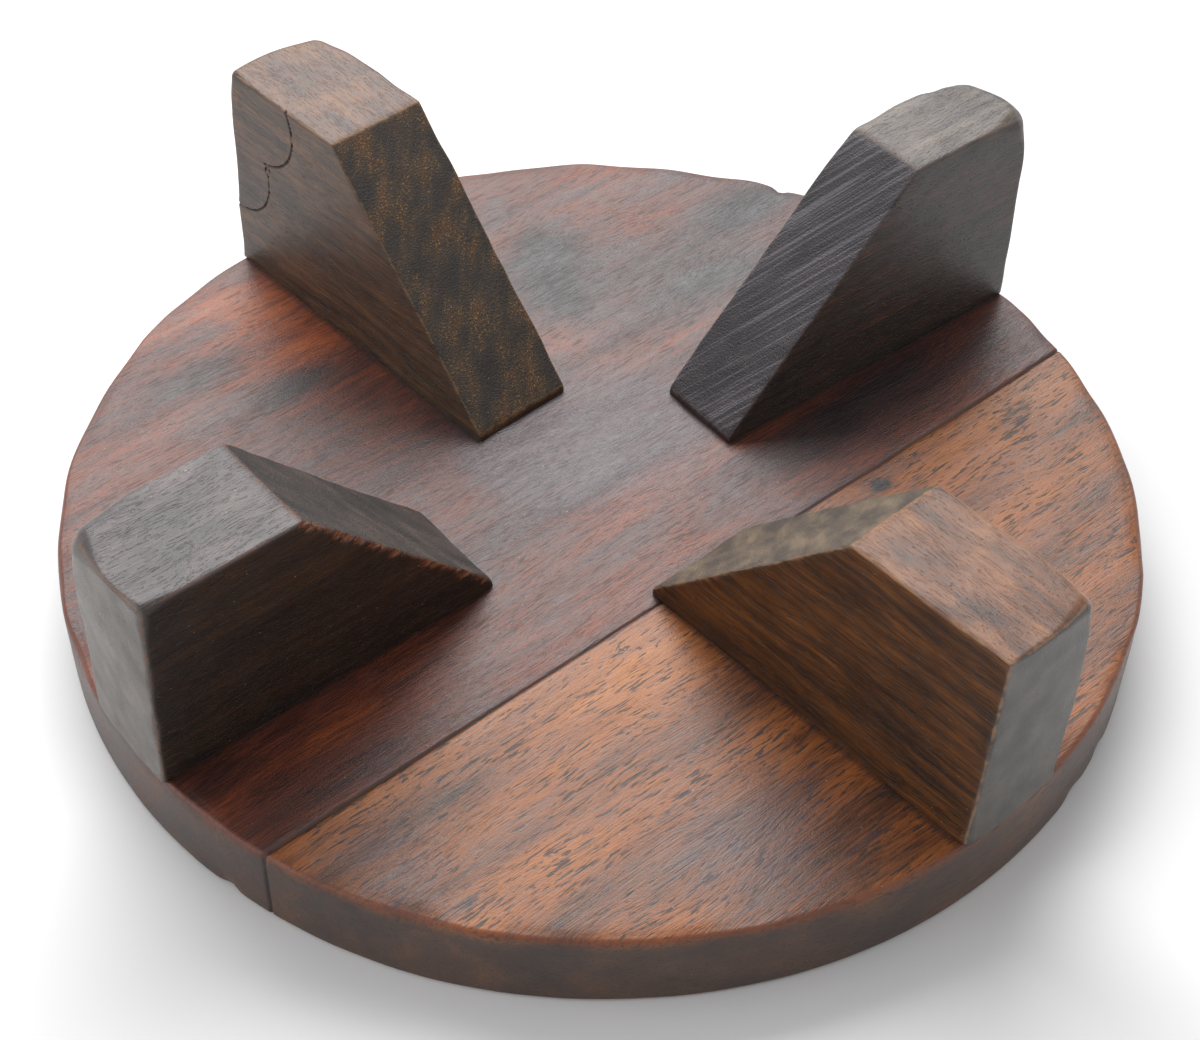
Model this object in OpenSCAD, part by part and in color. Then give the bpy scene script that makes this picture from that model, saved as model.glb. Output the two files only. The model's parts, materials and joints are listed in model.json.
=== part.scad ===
// Sweet mould: a round board of two joined planks on four wedge feet.
// It lies on its working face with the feet up. Z runs up through the feet, and the working face is on z = 0.
// The board's centre is on the Z axis. Sizes are in millimetres and turns in degrees from +X towards +Y.

/* [Board] */
// Diameter of the round board
board_d = 240; // [225:5:300]
// Thickness of the board
board_t = 20; // [17:0.5:28]
// Bevel worn on both edges of the rim
rim_bevel = 0.8; // [0.3:0.1:2]
// Distance from the board's centre to the joint between its two planks
joint_off = 34.4; // [20:0.2:42]
// Direction of the grain and of that joint
grain_turn = 41.3; // [35:0.1:50]

/* [Mould hollow] */
// Diameter of the hollow's mouth in the working face
hollow_d = 150; // [120:2:180]
// Depth of the hollow's floor
hollow_depth = 6; // [4.5:0.25:8]
// Slope of the hollow's wall away from upright, so that a sweet lets go
hollow_draft = 20; // [8:1:35]
// How deep the rosette is cut into that floor
carve_depth = 1.2; // [0.5:0.1:2]
// Length of a petal
petal_l = 46; // [30:1:50]
// Widest part of a petal
petal_w = 13; // [6:0.5:15]
// Distance from the centre to where the petals start
petal_from = 13; // [10:0.5:18]
// Diameter of the rosette's round middle
eye_d = 18; // [8:1:20]
// Width of the ring groove round the petals
ring_w = 2.4; // [1:0.2:4]
// Gap between the petals' tips and that groove
ring_gap = 4; // [1.5:0.5:6]

/* [Feet] */
// Height that the feet stand above the board
foot_h = 53; // [42:1:65]
// Upright step at the toe, where the slope ends above the board
toe_step = 1.6; // [0.5:0.1:4]

/* [Back left foot] */
// Direction of the foot, seen from the board's centre
back_left_turn = 133.5; // [130:0.5:138]
// How far its middle line stands to the left of the centre
back_left_shift = -2.2; // [-5:0.1:2]
// How far its sole stands to the left of its base
back_left_sole_shift = -2.4; // [-4:0.1:2]
// Width at the board
back_left_w = 26.3; // [21:0.1:32]
// Width of the sole
back_left_sole_w = 26.1; // [20:0.1:32]
// Length from the rim to the toe
back_left_l = 91; // [84:0.5:94]
// Length of the sole from the rim inwards
back_left_sole_l = 39; // [28:0.5:46]

/* [Back right foot] */
// Direction of the foot, seen from the board's centre
back_right_turn = 39; // [36:0.5:44]
// How far its middle line stands to the left of the centre
back_right_shift = 4.5; // [0:0.1:7]
// How far its sole stands to the left of its base
back_right_sole_shift = 0.3; // [-3:0.1:3]
// Width at the board
back_right_w = 22.1; // [19:0.1:30]
// Width of the sole
back_right_sole_w = 21.7; // [19:0.1:30]
// Length from the rim to the toe
back_right_l = 88.5; // [82:0.5:94]
// Length of the sole from the rim inwards
back_right_sole_l = 36.6; // [26:0.2:44]

/* [Front left foot] */
// Direction of the foot, seen from the board's centre
front_left_turn = 221; // [217:0.5:225]
// How far its middle line stands to the left of the centre
front_left_shift = -5.1; // [-8:0.1:0]
// How far its sole stands to the left of its base
front_left_sole_shift = 3.1; // [-2:0.1:4]
// Width at the board
front_left_w = 26.7; // [21:0.1:32]
// Width of the sole
front_left_sole_w = 28; // [20:0.1:32]
// Length from the rim to the toe
front_left_l = 83.5; // [78:0.5:92]
// Length of the sole from the rim inwards
front_left_sole_l = 36.7; // [26:0.1:44]

/* [Front right foot] */
// Direction of the foot, seen from the board's centre
front_right_turn = 313; // [309:0.5:317]
// How far its middle line stands to the left of the centre
front_right_shift = 0.4; // [-4:0.1:4]
// How far its sole stands to the left of its base
front_right_sole_shift = 0; // [-3:0.1:3]
// Width at the board
front_right_w = 28.3; // [21:0.1:33]
// Width of the sole
front_right_sole_w = 25; // [20:0.1:33]
// Length from the rim to the toe
front_right_l = 89.3; // [82:0.1:94]
// Length of the sole from the rim inwards
front_right_sole_l = 39.8; // [28:0.1:46]

/* [Foot dowels] */
// Diameter of the dowels that hold the feet
foot_dowel_d = 9; // [6:0.5:11]
// How far a dowel reaches up into its foot
foot_dowel_up = 15; // [8:0.5:18]
// Wood left between a dowel's end and the carved hollow
dowel_floor = 3; // [1.5:0.5:5]
// Distance from a foot's toe to its first dowel
toe_dowel_in = 30; // [26:0.5:34]
// Distance from the rim to its second dowel
heel_dowel_in = 20; // [12:0.5:26]

/* [Joint dowels] */
// Diameter of the dowels across the planks' joint
joint_dowel_d = 6.5; // [4:0.5:8]
// Length of those dowels
joint_dowel_l = 36; // [20:1:44]
// Distance from the joint's ends to the middles of its outer dowels
joint_dowel_in = 37; // [32:1:44]
// Glue line left round every dowel
dowel_fit = 0.05; // [0.03:0.01:0.2]
// Room left past a dowel's free end
dowel_end_gap = 0.5; // [0.2:0.1:1.5]

/* [Hidden] */

board_r = board_d / 2;
carve_z = hollow_depth + carve_depth;
dowel_z = carve_z + dowel_floor;
foot_dowel_l = board_t - dowel_z + foot_dowel_up;
joint_dowel_z = (carve_z + board_t) / 2;
half_joint = sqrt(board_r * board_r - joint_off * joint_off);
joint_dowels = 4;
joint_dowel_pitch = 2 * (half_joint - joint_dowel_in) / (joint_dowels - 1);
petal_count = 12;
// How far a cut runs past the face that it opens
past = 1;

// A foot's sizes, in this order
TURN = 0;
SHIFT = 1;
SOLE_SHIFT = 2;
WIDTH = 3;
SOLE_W = 4;
LENGTH = 5;
SOLE_L = 6;
BACK_LEFT = [
    back_left_turn, back_left_shift, back_left_sole_shift,
    back_left_w, back_left_sole_w, back_left_l, back_left_sole_l
];
BACK_RIGHT = [
    back_right_turn, back_right_shift, back_right_sole_shift,
    back_right_w, back_right_sole_w, back_right_l, back_right_sole_l
];
FRONT_LEFT = [
    front_left_turn, front_left_shift, front_left_sole_shift,
    front_left_w, front_left_sole_w, front_left_l, front_left_sole_l
];
FRONT_RIGHT = [
    front_right_turn, front_right_shift, front_right_sole_shift,
    front_right_w, front_right_sole_w, front_right_l, front_right_sole_l
];
FEET = [BACK_LEFT, BACK_RIGHT, FRONT_LEFT, FRONT_RIGHT];

// Distances of a foot's two dowels from the board's centre, along the foot
function toe_dowel_at(foot) = board_r - foot[LENGTH] + toe_dowel_in;
function heel_dowel_at(foot) = board_r - heel_dowel_in;
// Place of a joint dowel along the joint, numbered from 0
function joint_dowel_at(i) = i * joint_dowel_pitch - half_joint + joint_dowel_in;

// The board before it is cut, with its worn rim
module disc() {
    rotate_extrude($fn = 180)
        polygon([
            [0, 0], [board_r - rim_bevel, 0], [board_r, rim_bevel],
            [board_r, board_t - rim_bevel], [board_r - rim_bevel, board_t], [0, board_t]
        ]);
}

// The hollow that shapes the sweet, with a rosette sunk in its floor
module hollow() {
    mouth_r = hollow_d / 2;
    floor_r = mouth_r - hollow_depth * tan(hollow_draft);
    rotate_extrude($fn = 120)
        polygon([[0, -past], [mouth_r, -past], [mouth_r, 0], [floor_r, hollow_depth], [0, hollow_depth]]);
    translate([0, 0, hollow_depth - past])
        cylinder(h = carve_depth + past, d = eye_d, $fn = 48);
    for (i = [0 : petal_count - 1])
        rotate([0, 0, i * 360 / petal_count])
            translate([petal_from + petal_l / 2, 0, hollow_depth - past])
                petal();
    ring_groove();
}

// One petal: what two large circles have in common
module petal() {
    arc_r = (petal_l * petal_l + petal_w * petal_w) / (4 * petal_w);
    intersection() {
        translate([0, arc_r - petal_w / 2, 0])
            cylinder(h = carve_depth + past, r = arc_r, $fn = 96);
        translate([0, petal_w / 2 - arc_r, 0])
            cylinder(h = carve_depth + past, r = arc_r, $fn = 96);
    }
}

// The groove that rings the petals
module ring_groove() {
    inner_r = petal_from + petal_l + ring_gap;
    rotate_extrude($fn = 120)
        translate([inner_r, hollow_depth - past])
            square([ring_w, carve_depth + past]);
}

// Everything on the far side of the planks' joint (side 1) or on its near side (side -1)
module joint_side(side) {
    reach = board_d + past;
    rotate([0, 0, grain_turn])
        translate([-reach, side > 0 ? -joint_off : -joint_off - reach, -past])
            cube([2 * reach, reach * (side > 0 ? 2 : 1), board_t + 2 * past]);
}

// A round hole or dowel across the joint, grown by fit all round
module across_joint(i, d, length) {
    rotate([0, 0, grain_turn])
        translate([joint_dowel_at(i), -joint_off - joint_dowel_l / 2, joint_dowel_z])
            rotate([-90, 0, 0])
                cylinder(h = length, d = d, $fn = 32);
}

// A round hole or dowel standing in the board at a distance along a foot
module under_foot(foot, at, d, top) {
    rotate([0, 0, foot[TURN]])
        translate([at, foot[SHIFT], dowel_z])
            cylinder(h = top - dowel_z, d = d, $fn = 32);
}

// The holes of one foot's two dowels, up to a height
module foot_dowel_holes(foot, top) {
    under_foot(foot, toe_dowel_at(foot), foot_dowel_d + 2 * dowel_fit, top);
    under_foot(foot, heel_dowel_at(foot), foot_dowel_d + 2 * dowel_fit, top);
}

// The holes that both planks have in common. A joint dowel bottoms at the near end of its hole.
module board_holes() {
    for (foot = FEET)
        foot_dowel_holes(foot, board_t + past);
    for (i = [0 : joint_dowels - 1])
        across_joint(i, joint_dowel_d + 2 * dowel_fit, joint_dowel_l + dowel_end_gap);
}

module wide_board() {
    color("#5a2f22")
        difference() {
            intersection() {
                disc();
                joint_side(1);
            }
            hollow();
            board_holes();
        }
}

module narrow_board() {
    color("#7a4426")
        difference() {
            intersection() {
                disc();
                joint_side(-1);
            }
            hollow();
            board_holes();
        }
}

// A foot seen from its side: upright heel, flat sole, long slope and a small step at the toe
module side_outline(foot) {
    toe_x = board_r - foot[LENGTH];
    sole_x = board_r - foot[SOLE_L];
    polygon([
        [toe_x, board_t], [board_r + past, board_t], [board_r + past, board_t + foot_h],
        [sole_x, board_t + foot_h], [toe_x, board_t + toe_step]
    ]);
}

// A foot seen along its length: the sole may be narrower than the base and stand to one side
module end_outline(foot) {
    base = foot[SHIFT];
    sole = foot[SHIFT] + foot[SOLE_SHIFT];
    polygon([
        [base - foot[WIDTH] / 2, board_t], [base + foot[WIDTH] / 2, board_t],
        [sole + foot[SOLE_W] / 2, board_t + foot_h], [sole - foot[SOLE_W] / 2, board_t + foot_h]
    ]);
}

// The heel follows the rim, so the foot is cut by the same cylinder as the board
module wedge(foot) {
    side_reach = foot[WIDTH] + foot[SOLE_W];
    difference() {
        intersection() {
            rotate([0, 0, foot[TURN]])
                translate([0, side_reach, 0])
                    rotate([90, 0, 0])
                        linear_extrude(height = 2 * side_reach)
                            side_outline(foot);
            rotate([0, 0, foot[TURN]])
                rotate([90, 0, 90])
                    linear_extrude(height = board_r + past)
                        end_outline(foot);
            cylinder(h = board_t + foot_h + past, r = board_r, $fn = 180);
        }
        foot_dowel_holes(foot, board_t + foot_dowel_up + dowel_end_gap);
    }
}

module back_left_foot() {
    color("#5b4432")
        wedge(BACK_LEFT);
}

module back_right_foot() {
    color("#4a3c38")
        wedge(BACK_RIGHT);
}

module front_left_foot() {
    color("#4d403c")
        wedge(FRONT_LEFT);
}

module front_right_foot() {
    color("#644129")
        wedge(FRONT_RIGHT);
}

// A dowel under a foot, bottomed in the board
module foot_dowel(foot, at) {
    color("#a98355")
        under_foot(foot, at, foot_dowel_d, dowel_z + foot_dowel_l);
}

// A dowel across the joint, numbered from 0
module joint_dowel(i) {
    color("#a98355")
        across_joint(i, joint_dowel_d, joint_dowel_l);
}

wide_board();
narrow_board();
back_left_foot();
back_right_foot();
front_left_foot();
front_right_foot();
foot_dowel(BACK_LEFT, toe_dowel_at(BACK_LEFT));  // back_left_toe_dowel
foot_dowel(BACK_LEFT, heel_dowel_at(BACK_LEFT));  // back_left_heel_dowel
foot_dowel(BACK_RIGHT, toe_dowel_at(BACK_RIGHT));  // back_right_toe_dowel
foot_dowel(BACK_RIGHT, heel_dowel_at(BACK_RIGHT));  // back_right_heel_dowel
foot_dowel(FRONT_LEFT, toe_dowel_at(FRONT_LEFT));  // front_left_toe_dowel
foot_dowel(FRONT_LEFT, heel_dowel_at(FRONT_LEFT));  // front_left_heel_dowel
foot_dowel(FRONT_RIGHT, toe_dowel_at(FRONT_RIGHT));  // front_right_toe_dowel
foot_dowel(FRONT_RIGHT, heel_dowel_at(FRONT_RIGHT));  // front_right_heel_dowel
joint_dowel(0);  // joint_dowel_1
joint_dowel(1);  // joint_dowel_2
joint_dowel(2);  // joint_dowel_3
joint_dowel(3);  // joint_dowel_4
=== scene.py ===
"""Dresses the sweet mould: a round board of two old planks that stands on four wedge feet.

It lies on its carved working face with the feet up. Z runs up through the feet, and the board's
centre is on the Z axis. Sizes are in millimetres, and MM turns them into metres.

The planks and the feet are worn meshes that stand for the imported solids. Each gets a procedural
hardwood of its own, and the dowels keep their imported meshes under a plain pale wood.
"""

from __future__ import annotations

import json
import logging
import math
from collections.abc import Sequence
from dataclasses import dataclass, field
from enum import Enum

import bmesh
import bpy
import numpy as np
from mathutils import Matrix, Vector

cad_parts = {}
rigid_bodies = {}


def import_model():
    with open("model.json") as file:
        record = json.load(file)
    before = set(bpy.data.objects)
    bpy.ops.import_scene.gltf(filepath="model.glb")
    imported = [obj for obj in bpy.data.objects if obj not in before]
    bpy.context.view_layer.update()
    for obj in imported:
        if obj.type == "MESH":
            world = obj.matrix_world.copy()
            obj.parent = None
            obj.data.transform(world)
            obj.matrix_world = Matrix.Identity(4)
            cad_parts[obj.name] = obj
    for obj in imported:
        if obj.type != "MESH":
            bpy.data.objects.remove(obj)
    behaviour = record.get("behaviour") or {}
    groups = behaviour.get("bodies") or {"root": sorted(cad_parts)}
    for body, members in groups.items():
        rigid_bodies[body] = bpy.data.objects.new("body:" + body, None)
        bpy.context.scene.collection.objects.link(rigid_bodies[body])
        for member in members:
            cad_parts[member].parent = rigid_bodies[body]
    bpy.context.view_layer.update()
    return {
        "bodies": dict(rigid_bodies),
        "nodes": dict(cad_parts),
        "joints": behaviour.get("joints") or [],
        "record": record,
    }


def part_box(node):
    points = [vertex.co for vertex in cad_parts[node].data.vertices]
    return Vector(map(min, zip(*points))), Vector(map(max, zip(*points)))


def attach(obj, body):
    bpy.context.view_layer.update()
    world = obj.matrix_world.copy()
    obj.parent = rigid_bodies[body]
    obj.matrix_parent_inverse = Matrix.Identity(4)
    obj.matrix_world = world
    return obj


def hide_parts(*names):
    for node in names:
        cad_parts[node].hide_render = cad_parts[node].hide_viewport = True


MM = 0.001
BODY = "root"
LOG = logging.getLogger("sweet_mould")

Colour = tuple[float, float, float, float]
Triple = tuple[float, float, float]


def srgb(code: str) -> Colour:
    """Turns a colour such as "#8a4a24" into linear values.

    Args:
        code: Two hexadecimal digits each for red, green and blue, after a hash sign.

    Returns:
        Red, green, blue and full alpha.
    """
    shares = [int(code[i:i + 2], 16) / 255 for i in (1, 3, 5)]
    linear = [s / 12.92 if s <= 0.04045 else ((s + 0.055) / 1.055) ** 2.4 for s in shares]
    return (linear[0], linear[1], linear[2], 1.0)


def ease(value: np.ndarray, low: float, high: float) -> np.ndarray:
    """Rises smoothly from 0 at low to 1 at high."""
    share = np.clip((value - low) / (high - low), 0, 1)
    return share * share * (3 - 2 * share)


def hill(distance: np.ndarray, width: float) -> np.ndarray:
    """A bump of height 1 that has fallen to about a third at width."""
    return np.exp(-((distance / width) ** 2))


def soft_max(first: np.ndarray, second: np.ndarray, blend: float) -> np.ndarray:
    """The larger of two distances, with the crease between them rounded over blend."""
    share = np.clip(0.5 + 0.5 * (first - second) / blend, 0, 1)
    return second + (first - second) * share + blend * share * (1 - share)


def rounded(faces: np.ndarray, radius: np.ndarray) -> np.ndarray:
    """Distance to the space that is inside all of the faces, with its edges rounded.

    Args:
        faces: Signed distances past each face, one row for each face.
        radius: Rounding of the edges at each point.

    Returns:
        The signed distance at each point, negative inside.
    """
    lifted = faces + radius
    outside = np.linalg.norm(np.maximum(lifted, 0), axis=0)
    return outside + np.minimum(lifted.max(axis=0), 0) - radius


def turned(points: np.ndarray, degrees: float) -> np.ndarray:
    """Turns points about the Z axis, counterclockwise seen from above."""
    angle = math.radians(degrees)
    cos, sin = math.cos(angle), math.sin(angle)
    out = points.copy()
    out[:, 0] = points[:, 0] * cos - points[:, 1] * sin
    out[:, 1] = points[:, 0] * sin + points[:, 1] * cos
    return out


class Waves:
    """A smooth random field, summed from sine waves of about one wavelength."""

    def __init__(self, seed: int, length: Triple, count: int = 16) -> None:
        """Draws the waves.

        Args:
            seed: Fixes the draw.
            length: Wavelength along each axis.
            count: Number of waves.
        """
        rng = np.random.default_rng(seed)
        heading = rng.normal(size=(count, 3))
        heading /= np.linalg.norm(heading, axis=1, keepdims=True)
        pace = rng.uniform(0.7, 1.4, size=(count, 1))
        self.waves = 2 * math.pi * heading * pace / np.asarray(length)
        self.phases = rng.uniform(0, 2 * math.pi, count)

    def __call__(self, points: np.ndarray) -> np.ndarray:
        """The field at each point, mostly between -1 and 1."""
        sines = np.sin(points @ self.waves.T + self.phases)
        return sines.sum(axis=1) / math.sqrt(2 * len(self.phases))


class Signal:
    """A number in a material. Arithmetic on it adds Math nodes."""

    def __init__(self, recipe: Recipe, socket: bpy.types.NodeSocket) -> None:
        """Wraps a socket of one recipe."""
        self.recipe = recipe
        self.socket = socket

    def _math(self, operation: str, first: Signal | float, second: Signal | float) -> Signal:
        """Adds one Math node.

        Args:
            operation: The node's operation.
            first: Its first value.
            second: Its second value.

        Returns:
            The node's result.
        """
        node = self.recipe.node("ShaderNodeMath", {"operation": operation}, {0: first, 1: second})
        return Signal(self.recipe, node.outputs[0])

    def __add__(self, other: Signal | float) -> Signal:
        """This plus other."""
        return self._math("ADD", self, other)

    def __radd__(self, other: float) -> Signal:
        """Other plus this."""
        return self._math("ADD", other, self)

    def __sub__(self, other: Signal | float) -> Signal:
        """This less other."""
        return self._math("SUBTRACT", self, other)

    def __rsub__(self, other: float) -> Signal:
        """Other less this."""
        return self._math("SUBTRACT", other, self)

    def __mul__(self, other: Signal | float) -> Signal:
        """This times other."""
        return self._math("MULTIPLY", self, other)

    def __rmul__(self, other: float) -> Signal:
        """Other times this."""
        return self._math("MULTIPLY", other, self)


MIX_FACTOR, MIX_FIRST, MIX_SECOND, MIX_RESULT = 0, 6, 7, 2


class Recipe:
    """Builds the nodes of one material or world."""

    def __init__(self, owner: bpy.types.Material | bpy.types.World) -> None:
        """Empties its owner's nodes.

        Args:
            owner: The material or world.
        """
        owner.use_nodes = True
        self.owner = owner
        self.tree = owner.node_tree
        self.tree.nodes.clear()

    @classmethod
    def wood(cls, name: str) -> Recipe:
        """Starts a new wood of that name."""
        return cls(bpy.data.materials.new(name))

    def node(self, kind: str, settings: dict[str, object] | None = None,
             inputs: dict[str | int, object] | None = None) -> bpy.types.Node:
        """Adds any node.

        Args:
            kind: The node's type.
            settings: Its properties, which are set first. "stops" are a ramp's positions and colours.
            inputs: Values, sockets or signals for its inputs, by name or number.

        Returns:
            The node.
        """
        made = self.tree.nodes.new(kind)
        for name, value in (settings or {}).items():
            if name == "stops":
                self._set_stops(made.color_ramp, value)
            else:
                setattr(made, name, value)
        for key, value in (inputs or {}).items():
            source = value.socket if isinstance(value, Signal) else value
            if isinstance(source, bpy.types.NodeSocket):
                self.tree.links.new(source, made.inputs[key])
            else:
                made.inputs[key].default_value = source
        return made

    @staticmethod
    def _set_stops(ramp: bpy.types.ColorRamp, stops: Sequence[tuple[float, Colour]]) -> None:
        """Gives a ramp its stops."""
        while len(ramp.elements) < len(stops):
            ramp.elements.new(1.0)
        for element, (position, colour) in zip(ramp.elements, stops):
            element.position = position
            element.color = colour

    def place(self, turn: float) -> bpy.types.NodeSocket:
        """Points in millimetres, with X along a direction.

        Args:
            turn: That direction, in degrees from the frame's X axis.

        Returns:
            The points' socket.
        """
        coordinates = self.node("ShaderNodeTexCoord")
        mapping = self.node(
            "ShaderNodeMapping", None,
            {"Vector": coordinates.outputs["Object"], "Rotation": (0, 0, -math.radians(turn)),
             "Scale": (1 / MM, 1 / MM, 1 / MM)})
        return mapping.outputs[0]

    def tilted(self, where: bpy.types.NodeSocket, rotation: Triple) -> bpy.types.NodeSocket:
        """The same points, turned by angles in degrees about X, Y and Z."""
        angles = tuple(math.radians(a) for a in rotation)
        return self.node("ShaderNodeMapping", None, {"Vector": where, "Rotation": angles}).outputs[0]

    def drift(self, where: bpy.types.NodeSocket, by: Signal) -> bpy.types.NodeSocket:
        """The same points, moved along Y and Z by a number of millimetres."""
        shift = self.node("ShaderNodeCombineXYZ", None, {"Y": by, "Z": by})
        added = self.node("ShaderNodeVectorMath", {"operation": "ADD"}, {0: where, 1: shift.outputs[0]})
        return added.outputs[0]

    def noise(self, where: bpy.types.NodeSocket, size: Triple, detail: float = 2.0,
              rough: float = 0.5, seed: float = 0.0) -> Signal:
        """A cloudy field from 0 to 1.

        Args:
            where: Points in millimetres.
            size: Size of its clouds along each axis.
            detail: Number of finer layers.
            rough: Strength of the finer layers.
            seed: Moves the field, so that two differ.

        Returns:
            The field.
        """
        scaled = self.node(
            "ShaderNodeMapping", None,
            {"Vector": where, "Scale": tuple(1 / s for s in size), "Location": (seed, seed * 1.7, seed * 0.6)})
        made = self.node(
            "ShaderNodeTexNoise", None,
            {"Vector": scaled.outputs[0], "Scale": 1.0, "Detail": detail, "Roughness": rough})
        return Signal(self, made.outputs[0])

    def specks(self, where: bpy.types.NodeSocket, spacing: float, size: float) -> Signal:
        """Small scattered spots: 1 inside them.

        Args:
            where: Points in millimetres.
            spacing: Usual distance from one spot to the next.
            size: Radius of a spot.

        Returns:
            The field.
        """
        cells = self.node("ShaderNodeTexVoronoi", None, {"Vector": where, "Scale": 1 / spacing})
        return 1 - self.step(Signal(self, cells.outputs["Distance"]), size / spacing * 0.6, size / spacing)

    def step(self, value: Signal, low: float, high: float) -> Signal:
        """Rises smoothly from 0 at low to 1 at high."""
        made = self.node("ShaderNodeMapRange", {"interpolation_type": "SMOOTHSTEP"},
                         {0: value, 1: low, 2: high})
        return Signal(self, made.outputs[0])

    def attribute(self, name: str) -> Signal:
        """A field that the mesh holds."""
        return Signal(self, self.node("ShaderNodeAttribute", {"attribute_name": name}).outputs["Fac"])

    def ramp(self, value: Signal, stops: Sequence[tuple[float, str]]) -> bpy.types.NodeSocket:
        """Looks a colour up.

        Args:
            value: Where to look, from 0 to 1.
            stops: Positions and their colours.

        Returns:
            The colour's socket.
        """
        linear = [(position, srgb(code)) for position, code in stops]
        return self.node("ShaderNodeValToRGB", {"stops": linear}, {0: value}).outputs[0]

    def mix(self, share: Signal | float, first: object, second: object,
            mode: str = "MIX") -> bpy.types.NodeSocket:
        """Blends two colours.

        Args:
            share: Share of the second.
            first: The first colour's code or socket.
            second: The second colour's code or socket.
            mode: How the second is laid over the first.

        Returns:
            The colour's socket.
        """
        ends = [srgb(c) if isinstance(c, str) else c for c in (first, second)]
        made = self.node("ShaderNodeMix", {"data_type": "RGBA", "blend_type": mode},
                         {MIX_FACTOR: share, MIX_FIRST: ends[0], MIX_SECOND: ends[1]})
        return made.outputs[MIX_RESULT]

    def relief(self, height: Signal, depth: float, under: object = None) -> bpy.types.NodeSocket:
        """Fine relief for the shading.

        Args:
            height: Its height, from 0 to 1.
            depth: Millimetres from its lowest to its highest.
            under: Relief that it is laid over.

        Returns:
            The normal's socket.
        """
        inputs: dict[str | int, object] = {"Height": height, "Distance": depth * MM}
        if under is not None:
            inputs["Normal"] = under
        return self.node("ShaderNodeBump", None, inputs).outputs[0]

    def shine(self, colour: object, roughness: Signal | float, normal: object = None) -> bpy.types.Material:
        """Ends the recipe with its surface.

        Args:
            colour: Base colour's socket.
            roughness: How dull it is.
            normal: Relief's socket.

        Returns:
            The finished material.
        """
        inputs: dict[str | int, object] = {"Base Color": colour, "Roughness": roughness}
        if normal is not None:
            inputs["Normal"] = normal
        surface = self.node("ShaderNodeBsdfPrincipled", None, inputs)
        self.node("ShaderNodeOutputMaterial", None, {"Surface": surface.outputs[0]})
        return self.owner


@dataclass(frozen=True)
class Envelope:
    """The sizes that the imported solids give."""

    board_r: float
    board_t: float
    top: float

    @classmethod
    def from_frame(cls) -> Envelope:
        """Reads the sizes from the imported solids' boxes."""
        low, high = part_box("wide_board")
        reach = max(high.x, high.y, -low.x)
        return cls(reach / MM, high.z / MM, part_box("back_left_foot")[1].z / MM)


@dataclass(frozen=True)
class PlankFinish:
    """The look of one plank's wood."""

    slot: str
    tones: tuple[tuple[float, str], ...]
    ink: str
    dashes: float
    streaks: float
    seed: float


@dataclass(frozen=True)
class FootFinish:
    """The look of one foot's wood, face by face."""

    slot: str
    side: tuple[tuple[float, str], ...]
    slope: tuple[tuple[float, str], ...]
    sole: tuple[tuple[float, str], ...]
    heel: tuple[tuple[float, str], ...]
    edge: str
    fleck: str
    flecks: float
    saw: float
    seed: float


@dataclass(frozen=True)
class Patch:
    """A soft oval on the board, placed along and across the grain."""

    along: float
    across: float
    long: float
    wide: float
    amount: float

    def over(self, along: np.ndarray, across: np.ndarray) -> np.ndarray:
        """How much of it lies at each point."""
        far = np.hypot((along - self.along) / self.long, (across - self.across) / self.wide)
        return self.amount * hill(far, 1.0)


@dataclass(frozen=True)
class Nick:
    """A small bite out of the rim."""

    turn: float
    height: float
    reach: float
    rise: float
    depth: float


@dataclass(frozen=True)
class Worn:
    """A place where a foot's edges are rounder than elsewhere."""

    at: Triple
    reach: float
    radius: float


@dataclass(frozen=True)
class Shave:
    """A flat facet worn on a foot."""

    at: Triple
    facing: Triple


@dataclass(frozen=True)
class Dent:
    """An oval bite out of a foot."""

    at: Triple
    size: Triple
    blend: float = 0.5


@dataclass(frozen=True)
class Crack:
    """A curved or straight crack in a foot's side: an arc in the plane of U and Z."""

    middle: tuple[float, float]
    radius: float
    start: float
    end: float
    width: float
    depth: float

    def distance(self, u: np.ndarray, z: np.ndarray) -> np.ndarray:
        """Distance from each point to the arc."""
        du, dz = u - self.middle[0], z - self.middle[1]
        half = math.radians(self.end - self.start) / 2
        centre = math.radians(self.end + self.start) / 2
        off = (np.arctan2(dz, du) - centre + math.pi) % (2 * math.pi) - math.pi
        held = np.clip(off, -half, half) + centre
        return np.hypot(du - self.radius * np.cos(held), dz - self.radius * np.sin(held))


class Side(Enum):
    """A foot's long sides, by the sign of V."""

    LEFT = 1
    RIGHT = -1


def blended_object(name: str, mesh: bpy.types.Mesh, fields: dict[str, np.ndarray],
                   material: bpy.types.Material) -> bpy.types.Object:
    """Finishes a mesh and adds its object to the scene.

    Args:
        name: The object's name.
        mesh: Its mesh, in metres.
        fields: Numbers at its points, for the material.
        material: Its material.

    Returns:
        The object.
    """
    for label, values in fields.items():
        layer = mesh.attributes.new(label, "FLOAT", "POINT")
        layer.data.foreach_set("value", values.astype(np.float32))
    mesh.polygons.foreach_set("use_smooth", np.ones(len(mesh.polygons), bool))
    mesh.materials.append(material)
    made = bpy.data.objects.new(name, mesh)
    bpy.context.scene.collection.objects.link(made)
    return made


def points_of(mesh: bpy.types.Mesh) -> np.ndarray:
    """A mesh's points as rows of three numbers."""
    flat = np.empty(len(mesh.vertices) * 3, np.float32)
    mesh.vertices.foreach_get("co", flat)
    return flat.reshape(-1, 3).astype(float)


def set_points(mesh: bpy.types.Mesh, points: np.ndarray) -> None:
    """Moves a mesh's points."""
    mesh.vertices.foreach_set("co", points.astype(np.float32).ravel())
    mesh.update()


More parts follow.
